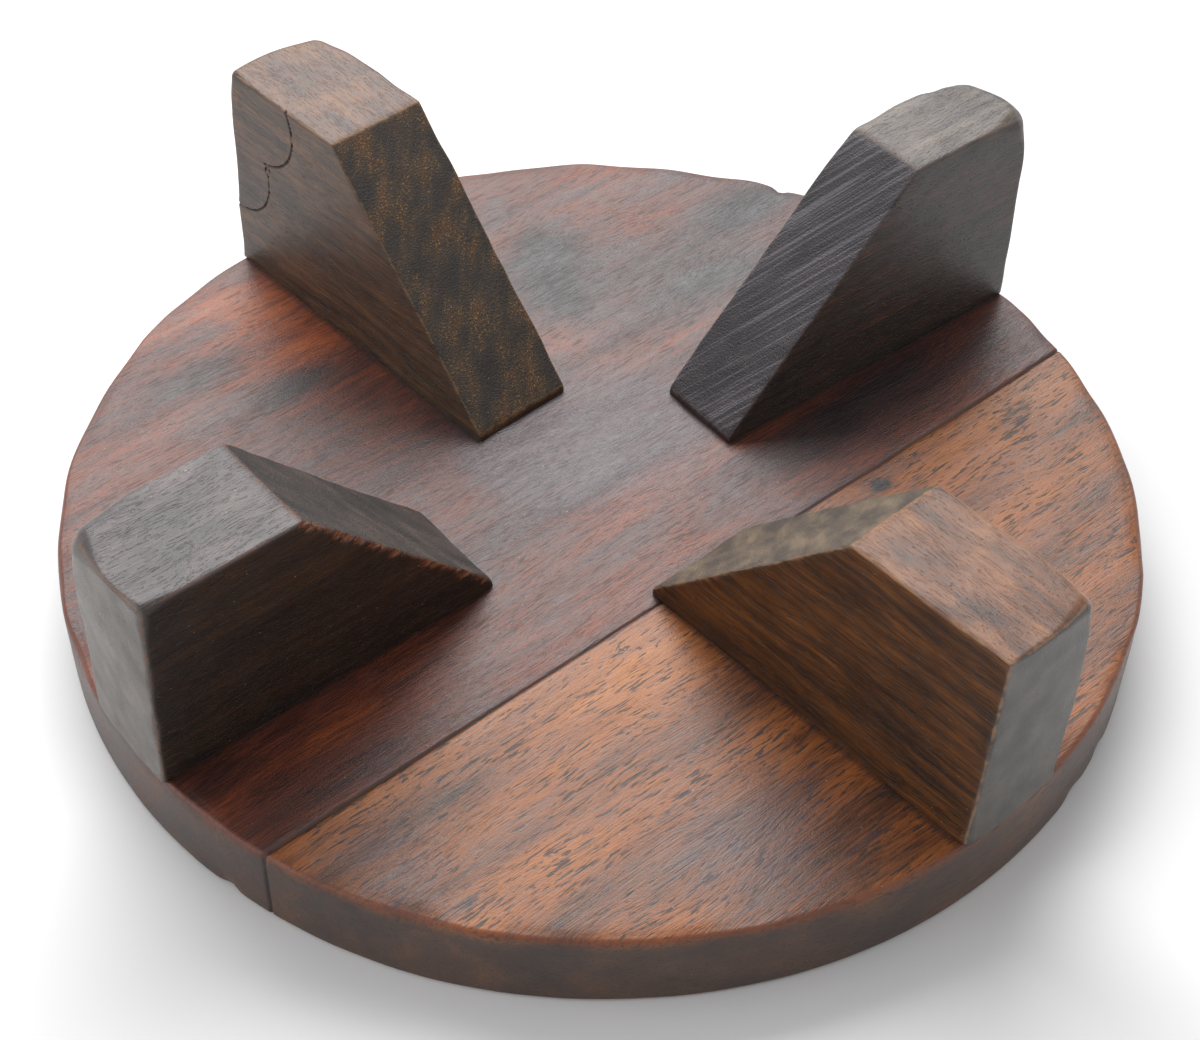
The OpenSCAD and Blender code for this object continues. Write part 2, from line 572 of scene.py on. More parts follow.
@dataclass
class Foot:
    """One wedge foot. U runs outwards from the board's centre along its turn, V to the left of it."""

    name: str
    frame: Envelope
    finish: FootFinish
    turn: float
    shift: float
    sole_shift: float
    width: float
    sole_width: float
    length: float
    sole_length: float
    seed: int
    edge: float = 0.8
    toe_step: float = 1.6
    seat: float = 0.5
    cell: float = 0.6
    worn: tuple[Worn, ...] = ()
    shaves: tuple[Shave, ...] = ()
    dents: tuple[Dent, ...] = ()
    cracks: tuple[Crack, ...] = ()
    crack_side: Side = Side.LEFT
    chipped: float = 0.0
    chip_spots: list[Dent] = field(default_factory=list)

    def __post_init__(self) -> None:
        """Works out the waves of its surface and its small chips."""
        self.toe_u = self.frame.board_r - self.length
        self.sole_u = self.frame.board_r - self.sole_length
        self.foot_h = self.frame.top - self.frame.board_t
        self.hollows = Waves(self.seed, (38, 30, 30))
        self.ripples = Waves(self.seed + 1, (9, 7, 7))
        self.edge_wear = Waves(self.seed + 2, (14, 14, 14))
        if self.chipped:
            self.chip_spots = self._chips_along_slope()

    def _chips_along_slope(self) -> list[Dent]:
        """Small splinters broken from the slope's edge on its cracked side."""
        rng = np.random.default_rng(self.seed + 3)
        spots = []
        sign = self.crack_side.value
        for share in np.arange(0.04, 1.0, 0.035):
            share += rng.uniform(-0.012, 0.012)
            u = self.toe_u + (self.sole_u - self.toe_u) * share
            z = self.frame.board_t + self.toe_step + (self.foot_h - self.toe_step) * share
            v = self.shift + self.sole_shift * share
            v += sign * (self.width + (self.sole_width - self.width) * share) / 2
            bite = rng.uniform(0.4, 1.3) * self.chipped
            spots.append(Dent((u, v, z), (rng.uniform(1.0, 2.6), bite, rng.uniform(0.5, 1.4)), 0.3))
        return spots

    def faces(self, p: np.ndarray) -> dict[str, np.ndarray]:
        """Signed distances past each face.

        Args:
            p: Points in U, V and Z.

        Returns:
            One row of distances for each face's name.
        """
        u, v, z = p.T
        run = self.sole_u - self.toe_u
        rise = self.foot_h - self.toe_step
        along = math.hypot(run, rise)
        share = (z - self.frame.board_t) / self.foot_h
        middle = self.shift + self.sole_shift * share
        half = (self.width + (self.sole_width - self.width) * share) / 2
        toe_top = self.frame.board_t + self.toe_step
        return {
            "sole": z - self.frame.top,
            "slope": ((toe_top - z) * -run - (u - self.toe_u) * rise) / along,
            "heel": np.hypot(u, v) - self.frame.board_r,
            "toe": self.toe_u - u,
            "left": v - middle - half,
            "right": middle - half - v,
        }

    def crack_distance(self, p: np.ndarray) -> np.ndarray:
        """Distance of each point from the cracks, along the cracked side."""
        if not self.cracks:
            return np.full(len(p), np.inf)
        return np.min([c.distance(p[:, 0], p[:, 2]) for c in self.cracks], axis=0)

    def crack_depth(self, p: np.ndarray, faces: dict[str, np.ndarray]) -> np.ndarray:
        """How deep the cracks are cut at each point."""
        depth = np.zeros(len(p))
        side = "left" if self.crack_side is Side.LEFT else "right"
        on_side = hill(np.minimum(faces[side] + 0.3, 0), 1.2)
        for crack in self.cracks:
            groove = crack.depth * hill(crack.distance(p[:, 0], p[:, 2]), crack.width)
            depth = np.maximum(depth, groove * on_side)
        return depth

    def shape(self, p: np.ndarray) -> np.ndarray:
        """Signed distance to the worn foot, negative inside."""
        faces = self.faces(p)
        rows = list(faces.values())
        for shave in self.shaves:
            facing = np.asarray(shave.facing) / np.linalg.norm(shave.facing)
            rows.append((p - np.asarray(shave.at)) @ facing)
        radius = self.edge * (1 + 0.45 * self.edge_wear(p))
        for worn in self.worn:
            near = hill(np.linalg.norm(p - np.asarray(worn.at), axis=1), worn.reach)
            radius = radius + near * (worn.radius - self.edge)
        surface = rounded(np.array(rows), np.maximum(radius, 0.25))
        surface = surface + 0.22 + 0.16 * self.hollows(p) + 0.05 * self.ripples(p)
        for dent in (*self.dents, *self.chip_spots):
            inside = 1 - np.linalg.norm((p - np.asarray(dent.at)) / np.asarray(dent.size), axis=1)
            surface = soft_max(surface, inside * min(dent.size), dent.blend)
        surface = surface + self.crack_depth(p, faces)
        return np.maximum(surface, self.frame.board_t - self.seat - p[:, 2])

    def settle(self, p: np.ndarray, rounds: int) -> np.ndarray:
        """Moves points onto the worn surface.

        Args:
            p: Points near it.
            rounds: Number of steps.

        Returns:
            The moved points.
        """
        reach = 0.04
        for _ in range(rounds):
            far = self.shape(p)
            slopes = np.empty_like(p)
            for axis in range(3):
                nudge = np.zeros(3)
                nudge[axis] = reach
                slopes[:, axis] = (self.shape(p + nudge) - self.shape(p - nudge)) / (2 * reach)
            steep = np.maximum((slopes ** 2).sum(axis=1), 0.3)
            step = np.clip(far / steep, -0.8, 0.8)
            p = p - slopes * step[:, None]
        return p

    def blank(self) -> bpy.types.Mesh:
        """An even mesh of the unworn wedge, in U, V and Z."""
        base, top = self.frame.board_t - self.seat, self.frame.top
        ends = []
        for u, z in ((self.toe_u, base), (self.toe_u, self.frame.board_t + self.toe_step),
                     (self.sole_u, top), (self.frame.board_r, top), (self.frame.board_r, base)):
            share = (z - self.frame.board_t) / self.foot_h
            middle = self.shift + self.sole_shift * share
            half = (self.width + (self.sole_width - self.width) * share) / 2
            ends += [(u, middle - half, z), (u, middle + half, z)]
        hull = bmesh.new()
        for end in ends:
            hull.verts.new(end)
        bmesh.ops.convex_hull(hull, input=hull.verts[:])
        coarse = bpy.data.meshes.new(self.name + "_blank")
        hull.to_mesh(coarse)
        hull.free()
        holder = bpy.data.objects.new(self.name + "_blank", coarse)
        bpy.context.scene.collection.objects.link(holder)
        remesh = holder.modifiers.new("even", "REMESH")
        remesh.mode = "VOXEL"
        remesh.voxel_size = self.cell * 1
        bpy.context.view_layer.update()
        evaluated = holder.evaluated_get(bpy.context.evaluated_depsgraph_get())
        even = bpy.data.meshes.new_from_object(evaluated)
        bpy.data.objects.remove(holder)
        bpy.data.meshes.remove(coarse)
        return even

    def refine(self, mesh: bpy.types.Mesh, within: float) -> None:
        """Halves the mesh's cells close to the cracks."""
        points = points_of(mesh)
        side = self.faces(points)["left" if self.crack_side is Side.LEFT else "right"]
        close = (self.crack_distance(points) < within) & (side > -1.5)
        work = bmesh.new()
        work.from_mesh(mesh)
        edges = [e for e in work.edges if close[e.verts[0].index] and close[e.verts[1].index]]
        bmesh.ops.subdivide_edges(work, edges=edges, cuts=1, use_grid_fill=True)
        bmesh.ops.triangulate(work, faces=[f for f in work.faces if len(f.verts) > 4])
        work.to_mesh(mesh)
        work.free()

    def worn_mesh(self) -> bpy.types.Mesh:
        """The worn foot's mesh, in U, V and Z."""
        mesh = self.blank()
        pairs = np.empty(len(mesh.edges) * 2, np.int32)
        mesh.edges.foreach_get("vertices", pairs)
        pairs = pairs.reshape(-1, 2)
        points = self.settle(points_of(mesh), 5)
        degree = np.bincount(pairs.ravel(), minlength=len(points))[:, None]
        for _ in range(2):
            total = np.zeros_like(points)
            np.add.at(total, pairs[:, 0], points[pairs[:, 1]])
            np.add.at(total, pairs[:, 1], points[pairs[:, 0]])
            points = self.settle(points + 0.5 * (total / degree - points), 3)
        set_points(mesh, points)
        if self.cracks:
            for within in (1.6, 1.0):
                self.refine(mesh, within)
            set_points(mesh, self.settle(points_of(mesh), 4))
        return mesh

    def fields(self, p: np.ndarray) -> dict[str, np.ndarray]:
        """What the material needs to know at each point: the faces, worn edges, chips and cracks."""
        faces = self.faces(p)
        order = np.sort(np.array(list(faces.values())), axis=0)
        gap = order[-1] - order[-2]
        top = order[-1]
        out = {name: np.exp(-(top - faces[name]) / 0.35) for name in ("sole", "slope", "heel")}
        out["edge"] = np.exp(-gap / 1.1)
        chips = np.zeros(len(p))
        for dent in (*self.dents, *self.chip_spots):
            far = np.linalg.norm((p - np.asarray(dent.at)) / np.asarray(dent.size), axis=1)
            chips = np.maximum(chips, 1 - ease(far, 0.95, 1.25))
        for shave in self.shaves:
            facing = np.asarray(shave.facing) / np.linalg.norm(shave.facing)
            chips = np.maximum(chips, ease((p - np.asarray(shave.at)) @ facing, -0.9, -0.35))
        out["chip"] = chips
        # The cracks' grooves, which the material fills with painted shade.
        out["crack"] = np.clip(self.crack_depth(p, faces) / 0.4, 0, 1)
        return out

    def material(self) -> bpy.types.Material:
        """The foot's hardwood: long grain on its sides and sole, end grain on its slope and heel."""
        look = self.finish
        r = Recipe.wood(self.name + "_wood")
        p = r.place(self.turn)
        wander = r.noise(p, (45, 14, 14), seed=look.seed)
        grain = r.drift(p, (wander - 0.5) * 9)
        cloud = r.noise(p, (11, 8, 8), 3, 0.6, look.seed + 3)
        bands = r.noise(grain, (60, 2.6, 2.6), 4, 0.6, look.seed + 5)
        hairs = r.noise(grain, (14, 0.45, 0.45), 3, 0.6, look.seed + 7)
        pores = r.step(r.noise(grain, (3.5, 0.35, 0.35), 1, 0.5, look.seed + 9), 0.58, 0.66)
        grit = r.noise(p, (0.45, 0.45, 0.45), 2, 0.7, look.seed + 11)

        side = r.ramp(bands * 0.75 + cloud * 0.35 + (hairs - 0.5) * 0.45 - 0.05, look.side)
        side = r.mix(pores * 0.6, side, "#1b1412")
        ends = r.tilted(p, (0, 40, 0))
        figure = r.noise(r.tilted(ends, (0, 0, 35)), (16, 5, 30), 3, 0.55, look.seed + 13)
        slope = r.ramp(figure * 0.9 + (grit - 0.5) * 0.35 + (cloud - 0.5) * 0.5, look.slope)
        golden = r.step(grit, 0.56, 0.68) * r.step(figure + (cloud - 0.5) * 0.6, 0.42, 0.6)
        slope = r.mix(golden * look.flecks, slope, look.fleck)
        kerf = r.noise(r.tilted(ends, (0, 0, 28)), (40, 0.55, 4), 2, 0.55, look.seed + 15)
        slope = r.mix(r.step(kerf, 0.5, 0.66) * look.saw, slope, "#8f8a92")
        sole = r.ramp(cloud * 0.7 + (bands - 0.5) * 0.6 + (grit - 0.5) * 0.35 + 0.15, look.sole)
        heel = r.ramp(cloud * 0.8 + (grit - 0.5) * 0.25 + 0.1, look.heel)
        colour = r.mix(r.attribute("slope"), side, slope)
        colour = r.mix(r.attribute("sole"), colour, sole)
        colour = r.mix(r.attribute("heel"), colour, heel)

        rub = r.step(r.attribute("edge") + (r.noise(p, (5, 2, 2), 3, 0.6, look.seed + 17) - 0.5) * 1.1, 0.62, 0.95)
        colour = r.mix(rub * 0.55, colour, look.edge)
        fresh = r.ramp(hairs, ((0.3, "#4a2416"), (0.5, "#7a4026"), (0.7, "#b07a4c")))
        chip = r.attribute("chip") * r.step(hairs + grit * 0.3, 0.45, 0.62)
        colour = r.mix(chip * 0.8, colour, fresh)
        # Painted shade: the cracks are filled with near black.
        colour = r.mix(r.attribute("crack"), colour, "#0b0908")
        dust = r.specks(p, 2.6, 0.16) * r.step(cloud, 0.4, 0.6)
        colour = r.mix(dust * 0.6, colour, "#b9ab93")

        rough = 0.42 + (grit - 0.5) * 0.3 + r.attribute("slope") * 0.16
        normal = r.relief(hairs * 0.6 + pores * -0.4 + grit * 0.25, 0.16)
        normal = r.relief(grit * r.attribute("slope"), 0.35, normal)
        return r.shine(colour, rough, normal)

    def build(self) -> bpy.types.Object:
        """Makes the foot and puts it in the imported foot's place.

        Returns:
            The foot's object.
        """
        mesh = self.worn_mesh()
        local = points_of(mesh)
        fields = self.fields(local)
        set_points(mesh, turned(local, self.turn) * MM)
        made = blended_object(self.name + "_wedge", mesh, fields, self.material())
        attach(made, BODY)
        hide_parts(self.name)
        LOG.info("%s: %d points", made.name, len(local))
        return made


@dataclass
class Board:
    """The round board: one lathe-turned disc with its carved working face, cut into two planks."""

    frame: Envelope
    grain: float = 41.3
    joint_off: float = 34.4
    hollow_r: float = 75.0
    hollow_depth: float = 6.0
    hollow_draft: float = 20.0
    carve_depth: float = 1.2
    petals: int = 12
    petal_l: float = 46.0
    petal_w: float = 13.0
    petal_from: float = 13.0
    eye_r: float = 9.0
    ring_from: float = 63.0
    ring_w: float = 2.4
    edge_r: float = 1.1
    rim_count: int = 640
    face_step: float = 1.6
    petal_lines: int = 40
    feet: tuple[Foot, ...] = ()
    warm: tuple[Patch, ...] = ()
    dark: tuple[Patch, ...] = ()
    film: tuple[Patch, ...] = ()
    nicks: tuple[Nick, ...] = ()

    def petal_half(self, along: np.ndarray) -> np.ndarray:
        """Half the width of a petal at a distance from the centre."""
        arc = (self.petal_l ** 2 + self.petal_w ** 2) / (4 * self.petal_w)
        off = along - self.petal_from - self.petal_l / 2
        return np.sqrt(np.maximum(arc ** 2 - off ** 2, 0)) - (arc - self.petal_w / 2)

    def ring_angles(self, radius: float, count: int) -> np.ndarray:
        """Angles of one ring's points, which follow the petals' outlines where there are petals."""
        even = np.arange(count) * 2 * math.pi / count
        inside = self.petal_from < radius < self.petal_from + self.petal_l
        if count != self.petals * self.petal_lines:
            return even
        sector = math.pi / self.petals
        half = float(self.petal_half(np.array([radius]))[0]) if inside else 0.0
        petal = max(math.asin(min(max(half, 0.0) / radius, 1)), sector * 0.05)
        place = (np.arange(count) % self.petal_lines) / self.petal_lines * 2
        place = np.where(place > 1, place - 2, place)
        share = 0.4
        far = np.abs(place)
        bent = np.where(far <= share, petal * far / share,
                        petal + (sector - petal) * (far - share) / (1 - share))
        middle = np.round(even / (2 * sector) - 1e-9)
        middle = np.where(place < 0, np.ceil(even / (2 * sector) - 1e-9), np.floor(even / (2 * sector) + 1e-9))
        return middle * 2 * sector + np.sign(place) * bent

    def carving(self, x: np.ndarray, y: np.ndarray) -> np.ndarray:
        """How deep the rosette is cut into the hollow's floor at each point."""
        radius = np.hypot(x, y)
        sector = 2 * math.pi / self.petals
        angle = (np.arctan2(y, x) + sector / 2) % sector - sector / 2
        along, off = radius * np.cos(angle), radius * np.sin(angle)
        inside = self.petal_half(along) - np.abs(off)
        vein = 0.5 * hill(off, 0.7) * ease(inside, 0.5, 3)
        petal = self.carve_depth * ease(inside, -0.1, 2.4) * (1 - vein)
        ring_middle = self.ring_from + self.ring_w / 2
        ring = self.carve_depth * (1 - ease(np.abs(radius - ring_middle), 0.55, self.ring_w / 2))
        eye = self.carve_depth * (1 - ease(radius, self.eye_r - 1.2, self.eye_r))
        button = ease(radius, 1.5, self.eye_r - 2.5) * 0.7 + 0.3
        return np.maximum(np.maximum(petal, ring), eye * button)

    def stations(self) -> list[tuple[float, float, int]]:
        """The disc's rings from the top's middle over the rim to the carved floor's middle.

        Returns:
            Each ring's radius, height and number of points.
        """
        r, t, e = self.frame.board_r, self.frame.board_t, self.edge_r
        rings = []
        for radius in np.arange(self.face_step, r - 3, self.face_step):
            rings.append((radius, t, self.count_at(radius)))
        rings += [(r - 2.4, t, self.rim_count), (r - 1.6, t, self.rim_count)]
        for angle in np.linspace(0, 90, 7):
            a = math.radians(angle)
            rings.append((r - e + e * math.sin(a), t - e + e * math.cos(a), self.rim_count))
        for z in np.linspace(t - e, e, 10)[1:-1]:
            rings.append((r, z, self.rim_count))
        for angle in np.linspace(90, 0, 7):
            a = math.radians(angle)
            rings.append((r - e + e * math.sin(a), e - e * math.cos(a), self.rim_count))
        lip = 0.5
        half = self.rim_count // 2
        for radius in np.linspace(r - 3, self.hollow_r + 2, 16):
            rings.append((radius, 0.0, half))
        floor_r = self.hollow_r - self.hollow_depth * math.tan(math.radians(self.hollow_draft))
        rings += [(self.hollow_r + lip, 0.0, half), (self.hollow_r + 0.1, 0.15, half)]
        for share in (0.08, 0.3, 0.6, 0.88):
            rings.append((self.hollow_r + (floor_r - self.hollow_r) * share, self.hollow_depth * share, half))
        rings += [(floor_r - 0.1, self.hollow_depth - 0.15, half), (floor_r - 0.7, self.hollow_depth, half)]
        fine = self.petals * self.petal_lines
        outer = self.ring_from + self.ring_w
        rings += [(radius, self.hollow_depth, fine) for radius in np.linspace(floor_r - 1.6, outer + 0.5, 5)]
        rings += [(radius, self.hollow_depth, fine) for radius in np.linspace(outer, self.ring_from, 9)]
        tip = self.petal_from + self.petal_l
        rings += [(radius, self.hollow_depth, fine) for radius in np.linspace(self.ring_from - 0.6, tip + 0.3, 5)]
        rings += [(radius, self.hollow_depth, fine) for radius in np.linspace(tip, self.eye_r + 0.8, 62)]
        rings += [(radius, self.hollow_depth, fine // 4) for radius in np.linspace(self.eye_r + 0.2, 4.0, 14)]
        rings += [(radius, self.hollow_depth, fine // 16) for radius in (3.0, 2.0, 1.0)]
        return rings

    def count_at(self, radius: float) -> int:
        """Number of points round the top at a radius, halved towards the middle."""
        count = self.rim_count
        while count > 20 and radius < self.frame.board_r * count / self.rim_count / 2:
            count //= 2
        return count

    def disc(self) -> bmesh.types.BMesh:
        """The whole disc as one closed mesh, in millimetres."""
        points: list[tuple[float, float, float]] = [(0.0, 0.0, self.frame.board_t)]
        faces: list[tuple[int, ...]] = []
        before: list[int] = [0]
        for radius, height, count in self.stations():
            angles = self.ring_angles(radius, count)
            start = len(points)
            points += [(radius * math.cos(a), radius * math.sin(a), height) for a in angles]
            ring = list(range(start, start + count))
            faces += self.strip(before, ring)
            before = ring
        points.append((0.0, 0.0, self.hollow_depth))
        faces += self.strip(before, [len(points) - 1])
        mesh = bpy.data.meshes.new("disc")
        mesh.from_pydata(points, [], faces)
        work = bmesh.new()
        work.from_mesh(mesh)
        bpy.data.meshes.remove(mesh)
        bmesh.ops.recalc_face_normals(work, faces=work.faces[:])
        return work

    @staticmethod
    def strip(first: list[int], second: list[int]) -> list[tuple[int, ...]]:
        """Faces between two closed rings, which may have different numbers of points."""
        n, m = len(first), len(second)
        if n == m:
            return [(first[i], first[(i + 1) % n], second[(i + 1) % n], second[i]) for i in range(n)]
        if n == 1:
            return [(first[0], second[i], second[(i + 1) % m]) for i in range(m)]
        if m == 1:
            return [(second[0], first[(i + 1) % n], first[i]) for i in range(n)]
        faces = []
        i = j = 0
        while i < n or j < m:
            if j >= m or (i < n and (i + 1) * m <= (j + 1) * n):
                faces.append((first[i % n], first[(i + 1) % n], second[j % m]))
                i += 1
            else:
                faces.append((first[i % n], second[(j + 1) % m], second[j % m]))
                j += 1
        return faces

    def cut(self, work: bmesh.types.BMesh, off: float, keep: int = 0) -> None:
        """Cuts the mesh along the planks' joint.

        Args:
            work: The mesh.
            off: Distance of the cut from the joint, across the grain.
            keep: 1 or -1 keeps only that side, and 0 only adds a line of edges.
        """
        angle = math.radians(self.grain)
        normal = Vector((-math.sin(angle), math.cos(angle), 0))
        bmesh.ops.bisect_plane(
            work, geom=work.verts[:] + work.edges[:] + work.faces[:], dist=1e-4,
            plane_co=normal * (off - self.joint_off), plane_no=normal,
            clear_inner=keep > 0, clear_outer=keep < 0)
        if keep:
            rim = [e for e in work.edges if e.is_boundary]
            made = bmesh.ops.holes_fill(work, edges=rim, sides=0)["faces"]
            for face in made:
                for edge in face.edges:
                    edge.smooth = False
            bmesh.ops.triangulate(work, faces=made)

    def weather(self, p: np.ndarray) -> np.ndarray:
        """Wears the disc's points.

        Args:
            p: Points in millimetres, in the frame.

        Returns:
            The worn points.
        """
        q = turned(p, -self.grain)
        along, across = q[:, 0], q[:, 1]
        radius = np.hypot(p[:, 0], p[:, 1])
        angle = np.degrees(np.arctan2(p[:, 1], p[:, 0]))
        height = p[:, 2].copy()
        t = self.frame.board_t
        out = p.copy()

        in_hollow = (radius < self.hollow_r - 1) & (height < t / 2)
        out[in_hollow, 2] += self.carving(p[in_hollow, 0], p[in_hollow, 1])

        seam = np.abs(across + self.joint_off)
        open_seam = 0.28 + 0.2 * ease(np.abs(along), 40, 110)
        groove = open_seam * hill(seam, 0.35)
        broad = Waves(11, (70, 34, 34))(q)
        fine = Waves(12, (26, 9, 9))(q)
        face_wear = 0.14 + 0.09 * broad + 0.035 * fine
        on_top = ease(height, t - 3, t - 0.5)
        below = 1 - ease(height, 0.2, 3)
        flat = ease(self.frame.board_r - radius, -0.5, 1.5)
        out[:, 2] -= on_top * (face_wear + groove * flat)
        out[:, 2] += below * (0.06 + 0.04 * broad)

        at_rim = ease(radius, self.frame.board_r - 4, self.frame.board_r - 0.5)
        lobes = Waves(13, (60, 60, 60))(p) * 0.16 + Waves(14, (14, 14, 14))(p) * 0.05
        inward = 0.26 + lobes + groove * 0.8
        edge = at_rim * hill(height - t, 2.2) * (0.35 + 0.35 * Waves(15, (20, 20, 20))(p))
        for nick in self.nicks:
            off = (angle - nick.turn + 180) % 360 - 180
            arc = np.radians(off) * self.frame.board_r
            inward = inward + nick.depth * hill(arc, nick.reach) * hill(height - nick.height, nick.rise)
        inward = at_rim * np.maximum(inward, 0.02) + np.maximum(edge, 0)
        shrink = np.where(radius > 1, 1 - inward / np.maximum(radius, 1), 1)
        out[:, 0] *= shrink
        out[:, 1] *= shrink
        out[:, 2] -= np.maximum(edge, 0) * 0.6
        return out

    def fields(self, p: np.ndarray) -> dict[str, np.ndarray]:
        """What the material needs to know at each unworn point of the disc."""
        q = turned(p, -self.grain)
        along, across = q[:, 0], q[:, 1]
        radius = np.hypot(p[:, 0], p[:, 1])
        t = self.frame.board_t
        on_top = ease(p[:, 2], t - 2, t - 0.2)
        out = {"warm": sum(patch.over(along, across) for patch in self.warm) * on_top,
               "dark": sum(patch.over(along, across) for patch in self.dark) * on_top,
               "film": sum(patch.over(along, across) for patch in self.film) * on_top}
        # Painted shade: the board's top darkens close round each foot's base, where the foot meets it, fading over
        # a few millimetres.
        near = np.full(len(p), 99.0)
        for foot in self.feet:
            f = turned(p, -foot.turn)
            off = np.abs(f[:, 1] - foot.shift) - foot.width / 2
            outside = np.maximum(off, foot.toe_u - f[:, 0])
            near = np.minimum(near, outside)
        out["grime"] = np.exp(-np.maximum(near, 0) / 2.2) * on_top
        out["rim"] = ease(radius, self.frame.board_r - 0.9, self.frame.board_r - 0.1) * (1 - on_top)
        # Wear along the rim's top edge, which also carries a painted highlight.
        out["lip"] = hill(np.hypot(radius - self.frame.board_r, p[:, 2] - t), 1.5)
        out["carved"] = ((radius < self.hollow_r + 1) & (p[:, 2] < t / 2)).astype(float)
        out["seam"] = hill(across + self.joint_off, 0.45)
        return out

    def plank(self, name: str, node: str, side: int, finish: PlankFinish,
              whole: bmesh.types.BMesh) -> bpy.types.Object:
        """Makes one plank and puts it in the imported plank's place.

        Args:
            name: The piece's name.
            node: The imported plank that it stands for.
            side: 1 for the plank behind the joint and -1 for the one before it.
            finish: Its wood.
            whole: The whole disc.

        Returns:
            The plank's object.
        """
        work = whole.copy()
        self.cut(work, 0.0, side)
        mesh = bpy.data.meshes.new(name)
        work.to_mesh(mesh)
        work.free()
        points = points_of(mesh)
        fields = self.fields(points)
        set_points(mesh, self.weather(points) * MM)
        made = blended_object(name, mesh, fields, self.material(finish))
        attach(made, BODY)
        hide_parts(node)
        LOG.info("%s: %d points", made.name, len(points))
        return made

    def material(self, look: PlankFinish) -> bpy.types.Material:
        """A plank's hardwood: long grain with dark dashes, under an old film and wear, with painted shade round
        the feet and a painted highlight along the rim's top edge.
        """
        r = Recipe.wood(look.slot)
        p = r.place(self.grain)
        wander = r.noise(p, (70, 22, 22), 2, 0.5, look.seed)
        grain = r.drift(p, (wander - 0.5) * 12)
        tone = r.noise(grain, (95, 13, 13), 3, 0.6, look.seed + 2)
        streak = r.noise(grain, (42, 1.7, 1.7), 4, 0.62, look.seed + 4)
        dash = r.noise(grain, (5.0, 0.55, 0.55), 2, 0.6, look.seed + 6)
        hair = r.noise(grain, (10, 0.26, 0.26), 2, 0.6, look.seed + 8)
        patchy = r.noise(p, (16, 9, 9), 3, 0.6, look.seed + 10)
        fine = r.noise(p, (0.5, 0.5, 0.5), 2, 0.7, look.seed + 12)
        warm, dark, film = r.attribute("warm"), r.attribute("dark"), r.attribute("film")

        level = tone * 0.55 + streak * 0.45 + (patchy - 0.5) * 0.3 + (hair - 0.5) * 0.35
        level = level + warm * 0.22 - dark * 0.2
        colour = r.ramp(level, look.tones)
        bands = r.step(streak + dark * 0.16 - warm * 0.06, 0.53, 0.7)
        colour = r.mix(bands * look.streaks, colour, look.ink)
        ticks = r.step(dash + (patchy - 0.5) * 0.3 + dark * 0.1, 0.56, 0.64)
        colour = r.mix(ticks * look.dashes, colour, look.ink)
        stain = r.step(dark + (streak - 0.5) * 1.2 + (patchy - 0.5) * 0.8, 0.45, 0.85)
        colour = r.mix(stain * 0.75, colour, "#1c1718")
        haze = r.step(film + (streak - 0.5) * 1.3 + (patchy - 0.5) * 0.9, 0.35, 0.85)
        colour = r.mix(haze * 0.62, colour, "#3b3038")
        # Painted shade round each foot's base: the board is darkened towards the foot.
        shade_round_feet_share = r.step(r.attribute("grime") + (patchy - 0.5) * 0.5 + (fine - 0.5) * 0.4, 0.45, 0.9)
        colour = r.mix(shade_round_feet_share * 0.6, colour, "#241a18")

        band = r.ramp(patchy * 0.8 + (fine - 0.5) * 0.3 + 0.1,
                      ((0.3, "#2a2422"), (0.5, "#3a302b"), (0.7, "#5a4030")))
        colour = r.mix(r.attribute("rim") * 0.85, colour, band)
        # Painted highlight together with wear: a lighter reddish line along the rim's top edge.
        lip = r.step(r.attribute("lip") + (patchy - 0.5) * 0.5, 0.4, 0.9)
        colour = r.mix(lip * 0.55, colour, "#6b3620")
        floor = r.ramp(patchy * 0.6 + streak * 0.4,
                       ((0.3, "#4a2f20"), (0.5, "#6b4630"), (0.7, "#8a6142")))
        colour = r.mix(r.attribute("carved"), colour, floor)
        colour = r.mix(r.attribute("seam") * r.step(streak, 0.3, 0.5) * 0.85, colour, "#120d0c")
        dust = r.specks(p, 3.2, 0.17) * r.step(patchy, 0.42, 0.6)
        colour = r.mix(dust * 0.5, colour, "#c0b4a6")

        rough = 0.4 + (hair - 0.5) * 0.35 + (patchy - 0.5) * 0.2 - haze * 0.04 + ticks * 0.08
        normal = r.relief(hair * 0.55 + dash * -0.5 + streak * 0.3, 0.14)
        normal = r.relief(fine, 0.05, normal)
        return r.shine(colour, rough, normal)

    def build(self, wide: PlankFinish, narrow: PlankFinish) -> None:
        """Makes both planks.

        Args:
            wide: Finish of the plank behind the joint.
            narrow: Finish of the plank before it.
        """
        whole = self.disc()
        for off in (0.2, 0.45, 0.8, 1.5):
            self.cut(whole, off)
            self.cut(whole, -off)
        self.plank("wide_plank", "wide_board", 1, wide, whole)
        self.plank("narrow_plank", "narrow_board", -1, narrow, whole)
        whole.free()


@dataclass(frozen=True)
class Dowels:
    """The hidden dowels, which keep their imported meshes."""

    pale: str = "#a98355"
    dark: str = "#7d5a36"

    def dress(self, nodes: dict[str, bpy.types.Object]) -> None:
        """Gives every dowel a plain wood with its grain along Z."""
        r = Recipe.wood("dowel_wood")
        p = r.place(0)
        lines = r.noise(p, (0.7, 0.7, 14), 3, 0.6)
        colour = r.mix(lines, self.pale, self.dark)
        material = r.shine(colour, 0.6 + lines * 0.1, r.relief(lines, 0.1))
        for name, node in nodes.items():
            if "dowel" in name:
                for slot in node.material_slots:
                    slot.material = material
                LOG.info("%s: %d slots dressed", name, len(node.material_slots))


